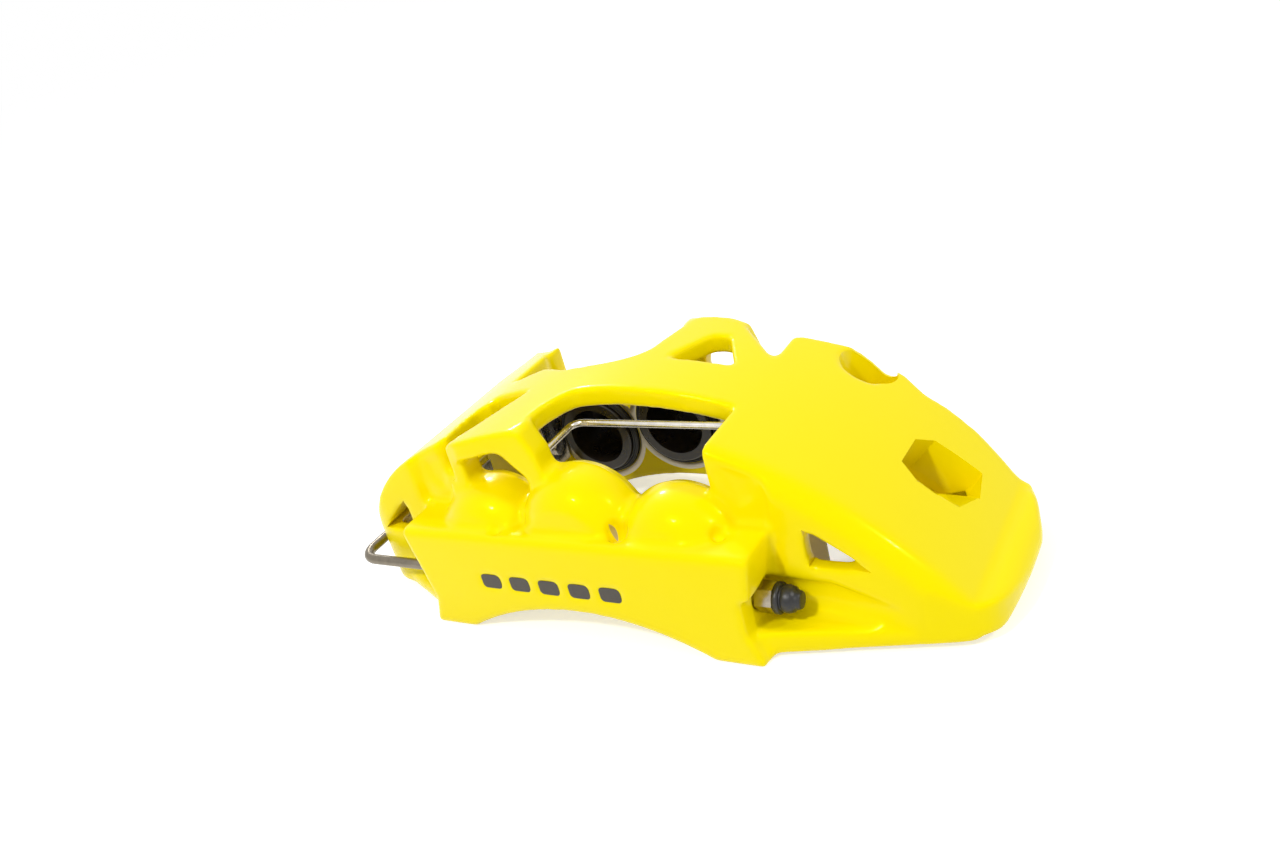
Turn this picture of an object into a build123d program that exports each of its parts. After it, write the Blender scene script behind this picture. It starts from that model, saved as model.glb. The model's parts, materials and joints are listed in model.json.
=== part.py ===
from build123d import *
import os
from math import asin, atan2, cos, degrees, pi, radians, sin, sqrt

# Six-piston monobloc disc-brake caliper, in millimetres.
# X runs along the caliper, Y along the wheel axle (-Y is the outboard, wheel side) and Z is radial.
# The feet stand on Z = 0, the disc's mid-plane is Y = 0 and the middle pistons are at X = 0.

os.makedirs("parts", exist_ok=True)

# ---- the disc that the caliper straddles ----
disc_axis_height = -108.0
disc_radius = 177.5
disc_thickness = 32.0
disc_side_gap = 3.0
disc_rim_gap = 3.5

# ---- cylinder blocks ----
block_outer_face = 71.0
pad_pocket_half_width = 37.0
pad_pocket_half_length = 68.0
arch_radius = 123.5
foot_half_length = 82.0
waist_half_length = 77.5
waist_height = 14.0
shoulder_half_length = 84.0
shoulder_height = 50.0
bulge_wall = 8.0
bulge_lip_width = 4.0
bulge_lip_step = 1.8
bulge_straight = 9.0
bulge_nose = 19.0
bulge_draft = 13.0

# ---- bridge ----
bridge_thickness = 19.0
spine_thickness = 9.0
inner_edge = 61.0
shell_outboard_edge = 46.0

# ---- ends ----
web_outer_face = 50.0
web_wall = 7.0
web_start = 92.0
end_floor = 8.0
end_underside = 3.0
long_nose_tip = 168.0
long_nose_start = 155.0
short_nose_tip = 129.0
short_nose_start = 90.0
end_edge_round = 10.0
shelf_root = 66.0
long_shelf_lip = 12.0
long_shelf_back = 31.0
short_shelf_lip = 8.0
short_shelf_back = 16.0

# ---- pistons, bores, seals and boots ----
piston_diameter = 38.0
piston_clearance = 0.05
piston_spacing = 45.5
piston_inset = 25.0
piston_length = 27.0
piston_wall = 4.5
piston_floor = 6.0
piston_stand_out = 3.5
bore_end_gap = 4.0
seal_width = 3.5
seal_depth = 3.0
seal_setback = 5.5
seal_play = 0.03
boot_wall = 2.5
boot_seat_depth = 3.0
boot_stand_out = 1.6

# ---- mounting lugs ----
mount_spacing = 188.0
mount_offset = 48.0
mount_hole_diameter = 12.5
mount_socket_diameter = 23.2
mount_seat_height = 36.0
mount_face_height = 4.0
mount_boss_diameter = 27.0

# ---- hydraulic ports, bleed screws and crossover pipe ----
thread_diameter = 10.0
thread_clearance = 0.05
thread_length = 12.0
port_spot_diameter = 16.0
end_port_seat = 77.0
gallery_diameter = 4.0
gallery_offset = 60.5
gallery_height = 26.0
gallery_half_length = 66.0
outboard_bleed_place = (-55.0, 22.4)
inboard_bleed_place = (72.0, 63.0)
hex_across_flats = 11.0
bleed_hex_length = 7.0
bleed_neck_diameter = 7.0
bleed_waist_diameter = 5.0
bleed_neck_length = 8.0
bleed_bore_diameter = 2.5
cap_flange_diameter = 12.6
cap_flange_width = 2.5
cap_diameter = 11.0
cap_body_length = 5.0
cap_tip_length = 3.0
cap_tip_diameter = 7.0
cap_play = 0.03
cap_pull = 10.0
pipe_diameter = 4.76
pipe_play = 0.03
pipe_bend_radius = 9.0
pipe_reach = 132.5
pipe_height = 20.5
outboard_pipe_offset = 57.0
inboard_pipe_offset = 64.5
pipe_nut_length = 7.0
inlet_diameter = 10.0
inlet_depth = 11.0
inlet_height = 24.0

# ---- pad hardware ----
plate_thickness = 1.0
plate_low = 24.0
plate_high = 56.0
plate_edge_gap = 1.0
plate_lip = 5.0
screw_thread_diameter = 4.0
screw_head_diameter = 7.5
screw_head_height = 2.0
screw_length = 9.0
screw_height = 34.0
wire_diameter = 3.0
wire_bend_radius = 5.0
wire_seat = 6.0
wire_play = 0.03
wire_corner = -14.0
wire_leg_end = 44.0
wire_line = -19.0
wire_over_piston = 12.5

# ---- face inlay: a plain row of dark rounded blocks ----
inlay_count = 5
inlay_block_length = 10.0
inlay_block_height = 7.0
inlay_pitch = 15.0
inlay_centre = (-11.0, 27.0)
inlay_corner = 2.0
inlay_recess = 1.4
inlay_thickness = 1.1
inlay_play = 0.05

# ---- holes that lighten the top of each block: x, y, radius and floor height ----
lightening_holes = [(23, -56, 4.5, 38), (68, -58, 3.5, 42), (-23, -60, 3.0, 44)]

slot_half_width = disc_thickness / 2 + disc_side_gap
bridge_inner_radius = disc_radius + disc_rim_gap
bridge_outer_radius = bridge_inner_radius + bridge_thickness
piston_pitch_radius = disc_radius - piston_inset
spine_inner_radius = bridge_outer_radius - spine_thickness
piston_radius = piston_diameter / 2
bore_radius = piston_radius + piston_clearance
bulge_radius = bore_radius + bulge_wall
block_depth = block_outer_face - pad_pocket_half_width
piston_places = [-piston_spacing, 0.0, piston_spacing]
piston_front = pad_pocket_half_width - piston_stand_out
piston_back = piston_front + piston_length
bore_end = piston_back + bore_end_gap
foot_inner = sqrt(arch_radius**2 - disc_axis_height**2)
top_clear = 130.0
thread_radius = thread_diameter / 2
port_radius = thread_radius + thread_clearance
bleed_neck_radius = bleed_neck_diameter / 2
cap_length = cap_flange_width + cap_body_length + cap_tip_length
bleed_clear = bleed_hex_length + cap_length + cap_pull + 1
pipe_start = -(end_port_seat - thread_length + 4)
bleed_seats = {
    "outboard": Plane((end_port_seat, *outboard_bleed_place), x_dir=(0, 1, 0), z_dir=(1, 0, 0)),
    "inboard": Plane((*inboard_bleed_place, shoulder_height), x_dir=(1, 0, 0), z_dir=(0, 0, 1)),
}
pipe_seats = {
    "outboard": Plane(
        (-end_port_seat, -outboard_pipe_offset, pipe_height), x_dir=(0, 1, 0), z_dir=(-1, 0, 0)
    ),
    "inboard": Plane(
        (-end_port_seat, inboard_pipe_offset, pipe_height), x_dir=(0, 1, 0), z_dir=(-1, 0, 0)
    ),
}
plate_width = pad_pocket_half_width - slot_half_width - 2 * plate_edge_gap
plate_middle = (pad_pocket_half_width + slot_half_width) / 2
screw_hole_radius = screw_thread_diameter / 2 + thread_clearance
wire_radius = wire_diameter / 2


def height_on_circle(radius, x):
    """Height above the feet of a circle round the disc axis."""
    return disc_axis_height + sqrt(radius**2 - x**2)


def piston_height(x):
    return height_on_circle(piston_pitch_radius, x)


wire_height = piston_height(0) + piston_radius + wire_over_piston


# ---- outboard cylinder block: feet, arch, shoulders and the three cylinder bulges ----
with BuildPart() as cylinder_block:
    with BuildSketch(Plane.XZ.offset(pad_pocket_half_width)):
        with BuildLine():
            ThreePointArc(
                (-foot_inner, 0), (0, height_on_circle(arch_radius, 0)), (foot_inner, 0)
            )
            Polyline(
                (foot_inner, 0),
                (foot_half_length, 0),
                (waist_half_length, waist_height),
                (shoulder_half_length, shoulder_height),
                (-shoulder_half_length, shoulder_height),
                (-waist_half_length, waist_height),
                (-foot_half_length, 0),
                (-foot_inner, 0),
            )
        make_face()
    extrude(amount=block_depth)
    front_top = cylinder_block.edges().filter_by(Axis.X).group_by(Axis.Y)[0].sort_by(Axis.Z)[-1]
    chamfer(front_top, length=5, length2=4)
    for x in piston_places:
        with BuildSketch(Plane.XZ.offset(pad_pocket_half_width)):
            with Locations((x, piston_height(x))):
                Circle(bulge_radius - bulge_lip_step)
        extrude(amount=bulge_lip_width)
        with BuildSketch(Plane.XZ.offset(pad_pocket_half_width + bulge_lip_width)):
            with Locations((x, piston_height(x))):
                Circle(bulge_radius)
        extrude(amount=bulge_straight)
        with BuildSketch(
            Plane.XZ.offset(pad_pocket_half_width + bulge_lip_width + bulge_straight)
        ):
            with Locations((x, piston_height(x))):
                Circle(bulge_radius)
        extrude(amount=bulge_nose, taper=bulge_draft)
    # The lower half of a cylinder never shows: the arch cuts it away.
    with BuildSketch(Plane.XZ.offset(pad_pocket_half_width - 1)):
        with Locations((0, disc_axis_height)):
            Circle(arch_radius)
    extrude(amount=block_depth + 2, mode=Mode.SUBTRACT)

# ---- long end: shell, webs and nose, as a side profile cut to its plan outline ----
with BuildPart() as long_end:
    with BuildSketch(Plane.XZ.offset(-block_outer_face)):
        with BuildLine():
            shell_start = (inner_edge, height_on_circle(bridge_outer_radius, inner_edge))
            shell_end = (long_nose_start, height_on_circle(bridge_outer_radius, long_nose_start))
            RadiusArc(shell_start, shell_end, bridge_outer_radius)
            nose_front = (long_nose_tip, 11)
            nose_under = (long_nose_tip - 6, end_underside + 1)
            ThreePointArc(shell_end, (long_nose_tip - 4, 16.5), nose_front)
            Line(nose_front, nose_under)
            Polyline(
                nose_under,
                (long_nose_start - 8, end_underside + 2),
                (pad_pocket_half_length, end_underside - 1),
                (pad_pocket_half_length, height_on_circle(bridge_inner_radius, pad_pocket_half_length)),
            )
            RadiusArc(
                (pad_pocket_half_length, height_on_circle(bridge_inner_radius, pad_pocket_half_length)),
                (inner_edge, height_on_circle(bridge_inner_radius, inner_edge)),
                -bridge_inner_radius,
            )
            Line((inner_edge, height_on_circle(bridge_inner_radius, inner_edge)), shell_start)
        make_face()
    extrude(amount=2 * block_outer_face)
    with BuildSketch(Plane.XY):
        with BuildLine():
            Polyline(
                (inner_edge, -shell_outboard_edge),
                (82, -shell_outboard_edge),
                (87, -web_outer_face),
                (140, -web_outer_face),
            )
            Spline((140, -web_outer_face), (160, -41), (long_nose_tip, -12), (161, 32), (141, 41))
            Polyline((141, 41), (121, 46), (107, 54), (84, 57), (64, 52), (inner_edge, 49), (inner_edge, -shell_outboard_edge))
        make_face()
    extrude(amount=top_clear, mode=Mode.INTERSECT)


# ---- short end: the same section, rounded down to a blunt nose ----
with BuildPart() as short_end:
    with BuildSketch(Plane.XZ.offset(-block_outer_face)):
        with BuildLine():
            shell_start = (-inner_edge, height_on_circle(bridge_outer_radius, inner_edge))
            shell_end = (-short_nose_start, height_on_circle(bridge_outer_radius, short_nose_start))
            RadiusArc(shell_start, shell_end, -bridge_outer_radius)
            nose_side = (-short_nose_tip, end_underside + 6)
            shell_slope = asin(short_nose_start / bridge_outer_radius)
            TangentArc(shell_end, nose_side, tangent=(-cos(shell_slope), -sin(shell_slope)))
            Polyline(
                nose_side,
                (3 - short_nose_tip, end_underside),
                (-pad_pocket_half_length, end_underside - 1),
                (-pad_pocket_half_length, height_on_circle(bridge_inner_radius, pad_pocket_half_length)),
            )
            RadiusArc(
                (-pad_pocket_half_length, height_on_circle(bridge_inner_radius, pad_pocket_half_length)),
                (-inner_edge, height_on_circle(bridge_inner_radius, inner_edge)),
                bridge_inner_radius,
            )
            Line((-inner_edge, height_on_circle(bridge_inner_radius, inner_edge)), shell_start)
        make_face()
    extrude(amount=2 * block_outer_face)
    with BuildSketch(Plane.XY):
        with BuildLine():
            Polyline(
                (-121, 42),
                (-107, 53),
                (-84, 57),
                (-70, 45),
                (-inner_edge, 33),
                (-45, 13),
                (-40, -13),
                (-inner_edge - 1, -shell_outboard_edge),
                (-82, -shell_outboard_edge),
                (-87, -web_outer_face),
                (-112, -web_outer_face),
            )
            Spline((-112, -web_outer_face), (-125, -44), (-short_nose_tip, -22), (-short_nose_tip, 20), (-121, 42))
        make_face()
    extrude(amount=top_clear, mode=Mode.INTERSECT)

# ---- bridge over the pad window: spine, outboard arm and inboard loop ----
with BuildPart() as bridge:
    with BuildSketch(Plane.XY):
        with BuildLine():
            Polyline((-inner_edge - 4, 5), (-45, 12), (-30, 5))
            Spline((-30, 5), (-11, 7), (4, 16), (8, 27))
            Polyline((8, 27), (13, 50), (18, 55), (32, 56), (37, 53), (inner_edge - 2, 30), (inner_edge + 4, 26), (inner_edge + 4, -14))
            Polyline((inner_edge + 4, -14), (26, -16), (3, -17), (-9, -19))
            Spline((-9, -19), (-15, -27), (-17, -46))
            Polyline((-17, -46), (-22, -54), (-50, -56), (-56, -54))
            Polyline((-56, -54), (-38, -13), (-inner_edge - 4, -9), (-inner_edge - 4, 5))
        make_face()
        with BuildLine(mode=Mode.PRIVATE) as opening:
            Polyline((19, 13), (30, 36), (37, 38), (49, 15), (19, 13))
        make_face(opening.line, mode=Mode.SUBTRACT)
    extrude(amount=top_clear)
    with BuildSketch(Plane.XZ.offset(-block_outer_face)):
        with Locations((0, disc_axis_height)):
            Circle(bridge_outer_radius)
            Circle(spine_inner_radius, mode=Mode.SUBTRACT)
    extrude(amount=2 * block_outer_face, mode=Mode.INTERSECT)

# ---- outboard arm legs: the framed window between the arm plate and the first cylinder ----
with BuildPart() as arm_legs:
    with BuildSketch(Plane.XZ.offset(pad_pocket_half_width + 5)):
        with BuildLine():
            RadiusArc(
                (-59, height_on_circle(bridge_outer_radius - 1, 59)),
                (-16, height_on_circle(bridge_outer_radius - 1, 16)),
                bridge_outer_radius - 1,
            )
            Polyline(
                (-16, height_on_circle(bridge_outer_radius - 1, 16)),
                (-11, 80),
                (-9, 62),
                (-12, 52),
                (-63, 52),
                (-62, 68),
                (-59, height_on_circle(bridge_outer_radius - 1, 59)),
            )
        make_face()
        with BuildLine(mode=Mode.PRIVATE) as arm_window:
            Polyline((-51, 77), (-31, 81), (-19, 68), (-22, 52), (-50, 52), (-51, 77))
        make_face(arm_window.line, mode=Mode.SUBTRACT)
    extrude(amount=12)

# ---- pillars that join each shell to its cylinder block ----
with BuildPart() as pillars:
    with BuildSketch(Plane.XZ.offset(pad_pocket_half_width)):
        with BuildLine():
            Polyline(
                (inner_edge, 40),
                (inner_edge, height_on_circle(bridge_outer_radius - 1, inner_edge)),
                (86, height_on_circle(bridge_outer_radius - 1, 86)),
                (85, 66),
                (79, 50),
                (79, 40),
                (inner_edge, 40),
            )
        make_face()
    extrude(amount=10)
    with BuildSketch(Plane.XZ.offset(pad_pocket_half_width + 5)):
        with BuildLine():
            Polyline((66, 75.5), (80, 71), (79, 62), (72, 56), (66, 75.5))
        make_face()
    extrude(amount=8, mode=Mode.SUBTRACT)
    mirror(about=Plane.YZ)

# ---- inboard loop legs, turned down to the inboard block ----
with BuildPart() as loop_legs:
    with BuildSketch(Plane.XZ.offset(-pad_pocket_half_width - 9)):
        with BuildLine():
            RadiusArc(
                (10, height_on_circle(bridge_outer_radius - 1, 10)),
                (40, height_on_circle(bridge_outer_radius - 1, 40)),
                bridge_outer_radius - 1,
            )
            Polyline(
                (40, height_on_circle(bridge_outer_radius - 1, 40)),
                (50, 55),
                (38, 50),
                (31, 81),
                (19, 82),
                (14, 55),
                (0, 60),
                (10, height_on_circle(bridge_outer_radius - 1, 10)),
            )
        make_face()
    extrude(amount=-9)

# ---- shelves: the flared foot of each end web ----
with BuildPart() as shelves:
    for side, tip, lip, back in (
        (1, long_nose_tip - 13, long_shelf_lip, long_shelf_back),
        (-1, 6 - short_nose_tip, short_shelf_lip, short_shelf_back),
    ):
        with BuildSketch(Plane.YZ.offset(side * waist_half_length)):
            Polygon(
                (-shelf_root, end_underside - 1),
                (-shelf_root, lip),
                (-web_outer_face, back),
                (-web_outer_face + 6, back),
                (-web_outer_face + 6, end_underside - 1),
                align=None,
            )
        with BuildSketch(Plane.YZ.offset(tip)):
            Polygon(
                (-web_outer_face + 5, end_underside),
                (-web_outer_face + 5, 8),
                (-web_outer_face + 6, 11),
                (-web_outer_face + 10, 11),
                (-web_outer_face + 10, end_underside),
                align=None,
            )
        loft(ruled=True)

# ---- caliper body: everything above fused into one casting, then machined ----
with BuildPart() as caliper_body:
    add(long_end.part)
    add(short_end.part)
    add(bridge.part)
    add(loop_legs.part)
    add(arm_legs.part)
    for piece in (cylinder_block, pillars, shelves):
        add(piece.part)
        add(piece.part.mirror(Plane.XZ))
    # Mounting bosses, hidden behind the inboard web.
    for side in (-1, 1):
        with BuildSketch(Plane.XY.offset(mount_face_height)):
            with Locations((side * mount_spacing / 2, mount_offset)):
                Circle(mount_boss_diameter / 2)
        extrude(amount=mount_seat_height - mount_face_height)
    # Disc slot: the rim of the disc with its running gap.
    with BuildSketch(Plane.XZ.offset(-slot_half_width)):
        with Locations((0, disc_axis_height)):
            Circle(bridge_inner_radius)
    extrude(amount=2 * slot_half_width, mode=Mode.SUBTRACT)
    # Pad pocket between the abutments.
    with BuildSketch(Plane.XZ.offset(-pad_pocket_half_width)):
        with BuildLine():
            Polyline(
                (-pad_pocket_half_length, height_on_circle(bridge_inner_radius, pad_pocket_half_length)),
                (-pad_pocket_half_length, -1),
                (pad_pocket_half_length, -1),
                (pad_pocket_half_length, height_on_circle(bridge_inner_radius, pad_pocket_half_length)),
            )
            ThreePointArc(
                (pad_pocket_half_length, height_on_circle(bridge_inner_radius, pad_pocket_half_length)),
                (0, height_on_circle(bridge_inner_radius, 0)),
                (-pad_pocket_half_length, height_on_circle(bridge_inner_radius, pad_pocket_half_length)),
            )
        make_face()
    extrude(amount=2 * pad_pocket_half_width, mode=Mode.SUBTRACT)
    # Hollow ends: the outboard webs are thin walls, with a three-cornered window in each.
    with BuildSketch(Plane.XZ):
        with BuildLine():
            Polyline(
                (web_start, height_on_circle(bridge_inner_radius, web_start)),
                (web_start, end_floor),
                (137, end_floor),
                (137, height_on_circle(bridge_inner_radius, 137)),
            )
            RadiusArc(
                (137, height_on_circle(bridge_inner_radius, 137)),
                (web_start, height_on_circle(bridge_inner_radius, web_start)),
                -bridge_inner_radius,
            )
        make_face()
        with BuildLine():
            Polyline(
                (-web_start, height_on_circle(bridge_inner_radius, web_start)),
                (-web_start, end_floor),
                (-120, end_floor),
                (-120, height_on_circle(bridge_inner_radius, 120)),
            )
            RadiusArc(
                (-120, height_on_circle(bridge_inner_radius, 120)),
                (-web_start, height_on_circle(bridge_inner_radius, web_start)),
                bridge_inner_radius,
            )
        make_face()
    extrude(amount=web_outer_face - web_wall, mode=Mode.SUBTRACT)
    with BuildSketch(Plane.XZ.offset(slot_half_width)):
        with BuildLine():
            Polyline((97, 51), (122, 34), (97, 34), (97, 51))
        make_face()
        with BuildLine():
            Polyline((-98, 51), (-117, 34), (-98, 34), (-98, 51))
        make_face()
    extrude(amount=block_outer_face, mode=Mode.SUBTRACT)
    # Scallop for the socket, bolt seat and bolt hole of each mounting lug.
    for side in (-1, 1):
        with BuildSketch(Plane.XY.offset(mount_seat_height)):
            with Locations((side * mount_spacing / 2, mount_offset)):
                Circle(mount_socket_diameter / 2)
        extrude(amount=top_clear, mode=Mode.SUBTRACT)
        with BuildSketch(Plane.XY):
            with Locations((side * mount_spacing / 2, mount_offset)):
                Circle(mount_hole_diameter / 2)
        extrude(amount=mount_seat_height + 1, mode=Mode.SUBTRACT)
        with BuildSketch(Plane.XY):
            with Locations((side * mount_spacing / 2, mount_offset)):
                Circle(mount_boss_diameter / 2)
        extrude(amount=mount_face_height, mode=Mode.SUBTRACT)
    # Arrow pocket in the long shell.
    with BuildSketch(Plane.XY.offset(27)):
        with BuildLine():
            Polyline((118, 7), (124, 20), (133, 25), (147, 22), (150, 8), (137, -5), (124, -5), (118, 7))
        make_face()
    extrude(amount=60, mode=Mode.SUBTRACT)
    with BuildSketch(Plane.XY.offset(10)):
        with BuildLine():
            Polyline((118, 7), (124, 20), (129, 14), (129, 0), (124, -5), (118, 7))
        make_face()
    extrude(amount=60, mode=Mode.SUBTRACT)
    # Groove across the long nose.
    with BuildSketch(Plane.XZ.offset(-block_outer_face)):
        with Locations((long_nose_start - 1, height_on_circle(bridge_outer_radius, long_nose_start - 1) + 1.5)):
            Circle(4)
    extrude(amount=2 * block_outer_face, mode=Mode.SUBTRACT)
    # Stepped bores for the pistons, their seals and boots.
    for side in (-1, 1):
        for x in piston_places:
            for start, end, radius in (
                (pad_pocket_half_width - 1, bore_end, bore_radius),
                (pad_pocket_half_width - 1, pad_pocket_half_width + boot_seat_depth, bore_radius + boot_wall),
                (
                    pad_pocket_half_width + seal_setback,
                    pad_pocket_half_width + seal_setback + seal_width,
                    bore_radius + seal_depth,
                ),
            ):
                with BuildSketch(Plane.XZ.offset(-side * start)):
                    with Locations((x, piston_height(x))):
                        Circle(radius)
                extrude(amount=-side * (end - start), mode=Mode.SUBTRACT)

    # Ports: spot face and threaded hole for each bleed screw and pipe nut.
    for seats, clear in ((bleed_seats, bleed_clear), (pipe_seats, pipe_nut_length + 0.5)):
        for seat in seats.values():
            with BuildSketch(seat):
                Circle(port_spot_diameter / 2)
            extrude(amount=clear, mode=Mode.SUBTRACT)
            with BuildSketch(seat.offset(-thread_length)):
                Circle(port_radius)
            extrude(amount=thread_length, mode=Mode.SUBTRACT)
    # Galleries that join the bores to the ports.
    for side in (-1, 1):
        with BuildSketch(Plane.YZ.offset(-gallery_half_length)):
            with Locations((side * gallery_offset, gallery_height)):
                Circle(gallery_diameter / 2)
        extrude(amount=2 * gallery_half_length, mode=Mode.SUBTRACT)
    with BuildSketch(Plane.YZ.offset(gallery_half_length)):
        with Locations((gallery_offset, gallery_height)):
            Circle(gallery_diameter / 2)
    extrude(amount=inboard_bleed_place[0] - gallery_half_length, mode=Mode.SUBTRACT)
    with BuildSketch(Plane.XY.offset(gallery_height)):
        with Locations((inboard_bleed_place[0], gallery_offset + 1)):
            Circle(gallery_diameter / 2)
    extrude(amount=shoulder_height - thread_length - gallery_height + 1, mode=Mode.SUBTRACT)
    # Hose inlet in the inboard face, down to the gallery.
    with BuildSketch(Plane.XZ.offset(-block_outer_face)):
        with Locations((piston_spacing / 2, inlet_height)):
            Circle(inlet_diameter / 2)
    extrude(amount=inlet_depth, mode=Mode.SUBTRACT)
    # Tapped holes for the abutment plate screws.
    for side in (-1, 1):
        for end in (-1, 1):
            with BuildSketch(Plane.YZ.offset(end * (pad_pocket_half_length - 1))):
                with Locations((side * plate_middle, screw_height)):
                    Circle(screw_hole_radius)
            extrude(amount=end * (screw_length + 1), mode=Mode.SUBTRACT)
    # Two holes that take the ends of the pad wire.
    with BuildSketch(Plane.YZ.offset(inner_edge - 1)):
        with Locations((wire_line, wire_height)):
            Circle(wire_radius + wire_play)
    extrude(amount=wire_seat + 1.2, mode=Mode.SUBTRACT)
    with BuildSketch(Plane.XZ.offset(pad_pocket_half_width)):
        with Locations((wire_corner, wire_height)):
            Circle(wire_radius + wire_play)
    extrude(amount=wire_leg_end + 0.2 - pad_pocket_half_width, mode=Mode.SUBTRACT)
    # Shallow recess for the face inlay.
    with BuildSketch(Plane.XZ.offset(block_outer_face - inlay_recess)):
        with Locations(inlay_centre):
            with GridLocations(inlay_pitch, 1, inlay_count, 1):
                RectangleRounded(inlay_block_length, inlay_block_height, inlay_corner)
    extrude(amount=inlay_recess + 1, mode=Mode.SUBTRACT)
    # Lightening holes between the cylinders.
    for x, y, radius, floor in lightening_holes:
        with BuildSketch(Plane.XY.offset(floor)):
            with Locations((x, y)):
                Circle(radius)
        extrude(amount=shoulder_height + 4 - floor, mode=Mode.SUBTRACT)
caliper_body.part.label = "caliper_body"
export_step(caliper_body.part, "parts/caliper_body.step")

# ---- pistons: cups, open towards the pad ----
for side, side_name in ((-1, "outboard"), (1, "inboard")):
    for number, x in enumerate(piston_places, start=1):
        with BuildPart() as piston:
            with BuildSketch(Plane.XZ.offset(-side * piston_front)):
                with Locations((x, piston_height(x))):
                    Circle(piston_radius)
            extrude(amount=-side * piston_length)
            fillet(piston.edges().filter_by(GeomType.CIRCLE), radius=0.8)
            with BuildSketch(Plane.XZ.offset(-side * piston_front)):
                with Locations((x, piston_height(x))):
                    Circle(piston_radius - piston_wall)
            extrude(amount=-side * (piston_length - piston_floor), mode=Mode.SUBTRACT)
        piston.part.label = f"piston_{side_name}_{number}"
        export_step(piston.part, f"parts/{piston.part.label}.step")

        with BuildPart() as seal:
            with BuildSketch(Plane.XZ.offset(-side * (pad_pocket_half_width + seal_setback + seal_play))):
                with Locations((x, piston_height(x))):
                    Circle(bore_radius + seal_depth)
                    Circle(piston_radius + seal_play, mode=Mode.SUBTRACT)
            extrude(amount=-side * (seal_width - 2 * seal_play))
        seal.part.label = f"piston_seal_{side_name}_{number}"
        export_step(seal.part, f"parts/{seal.part.label}.step")

        # A wiper boot: seated in the bore mouth, with two rounded ridges and a lip on the piston.
        boot_plane = Plane((x, 0, piston_height(x)), x_dir=(1, 0, 0), z_dir=(0, 0, 1))
        with BuildPart() as boot:
            with BuildSketch(boot_plane):
                with BuildLine():
                    Polyline(
                        (piston_radius + seal_play, side * (pad_pocket_half_width + 1.0)),
                        (piston_radius + seal_play, side * (pad_pocket_half_width - boot_stand_out + 0.4)),
                        (piston_radius + 0.5, side * (pad_pocket_half_width - boot_stand_out)),
                        (piston_radius + 1.1, side * (pad_pocket_half_width - boot_stand_out)),
                        (piston_radius + 1.4, side * (pad_pocket_half_width - 0.6)),
                        (piston_radius + 1.7, side * (pad_pocket_half_width - 1.2)),
                        (piston_radius + 2.2, side * (pad_pocket_half_width - 1.2)),
                        (bore_radius + boot_wall, side * (pad_pocket_half_width - 0.4)),
                        (bore_radius + boot_wall, side * (pad_pocket_half_width + boot_seat_depth)),
                        (piston_radius + 1.2, side * (pad_pocket_half_width + boot_seat_depth)),
                        (piston_radius + 1.2, side * (pad_pocket_half_width + 1.0)),
                        (piston_radius + seal_play, side * (pad_pocket_half_width + 1.0)),
                    )
                make_face()
            revolve(axis=Axis((x, 0, piston_height(x)), (0, 1, 0)))
        boot.part.label = f"piston_boot_{side_name}_{number}"
        export_step(boot.part, f"parts/{boot.part.label}.step")

# ---- bleed screws and their caps ----
for side_name, seat in bleed_seats.items():
    with BuildPart() as bleed_screw:
        with BuildSketch(seat.offset(0.5 - thread_length)):
            Circle(thread_radius)
        extrude(amount=thread_length - 0.5)
        screw_tip = bleed_screw.faces().sort_by(Axis(seat.origin, seat.z_dir))[0]
        chamfer(screw_tip.edges(), length=2.5)
        with BuildSketch(seat):
            RegularPolygon(hex_across_flats / 2, 6, major_radius=False)
        extrude(amount=bleed_hex_length)
        with BuildSketch(seat.offset(bleed_hex_length)):
            Circle(bleed_waist_diameter / 2)
        extrude(amount=bleed_neck_length)
        with BuildSketch(seat.offset(bleed_hex_length + bleed_neck_length / 2)):
            Circle(bleed_neck_radius)
        extrude(amount=bleed_neck_length / 2, taper=14)
        with BuildSketch(seat.offset(-thread_length / 2)):
            Circle(bleed_bore_diameter / 2)
        extrude(amount=thread_length / 2 + bleed_hex_length + bleed_neck_length, mode=Mode.SUBTRACT)
    bleed_screw.part.label = f"bleed_screw_{side_name}"
    export_step(bleed_screw.part, f"parts/{bleed_screw.part.label}.step")

    cap_seat = seat.offset(bleed_hex_length)
    with BuildPart() as bleed_cap:
        with BuildSketch(cap_seat):
            Circle(cap_flange_diameter / 2)
        extrude(amount=cap_flange_width)
        with BuildSketch(cap_seat.offset(cap_flange_width)):
            Circle(cap_diameter / 2)
        extrude(amount=cap_body_length)
        with BuildSketch(cap_seat.offset(cap_flange_width + cap_body_length)):
            Circle(cap_diameter / 2)
        with BuildSketch(cap_seat.offset(cap_length)):
            Circle(cap_tip_diameter / 2)
        loft()
        with BuildSketch(cap_seat):
            Circle(bleed_neck_radius + cap_play)
        extrude(amount=bleed_neck_length + 0.5, mode=Mode.SUBTRACT)
    bleed_cap.part.label = f"bleed_cap_{side_name}"
    export_step(bleed_cap.part, f"parts/{bleed_cap.part.label}.step")

# ---- crossover pipe round the short nose, with a nut at each end ----
with BuildPart() as crossover_pipe:
    with BuildLine():
        FilletPolyline(
            (pipe_start, -outboard_pipe_offset, pipe_height),
            (-pipe_reach, -outboard_pipe_offset, pipe_height),
            (-pipe_reach, inboard_pipe_offset, pipe_height),
            (pipe_start, inboard_pipe_offset, pipe_height),
            radius=pipe_bend_radius,
        )
    with BuildSketch(Plane((pipe_start, -outboard_pipe_offset, pipe_height), z_dir=(-1, 0, 0))):
        Circle(pipe_diameter / 2)
    sweep()
crossover_pipe.part.label = "crossover_pipe"
export_step(crossover_pipe.part, "parts/crossover_pipe.step")

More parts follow.
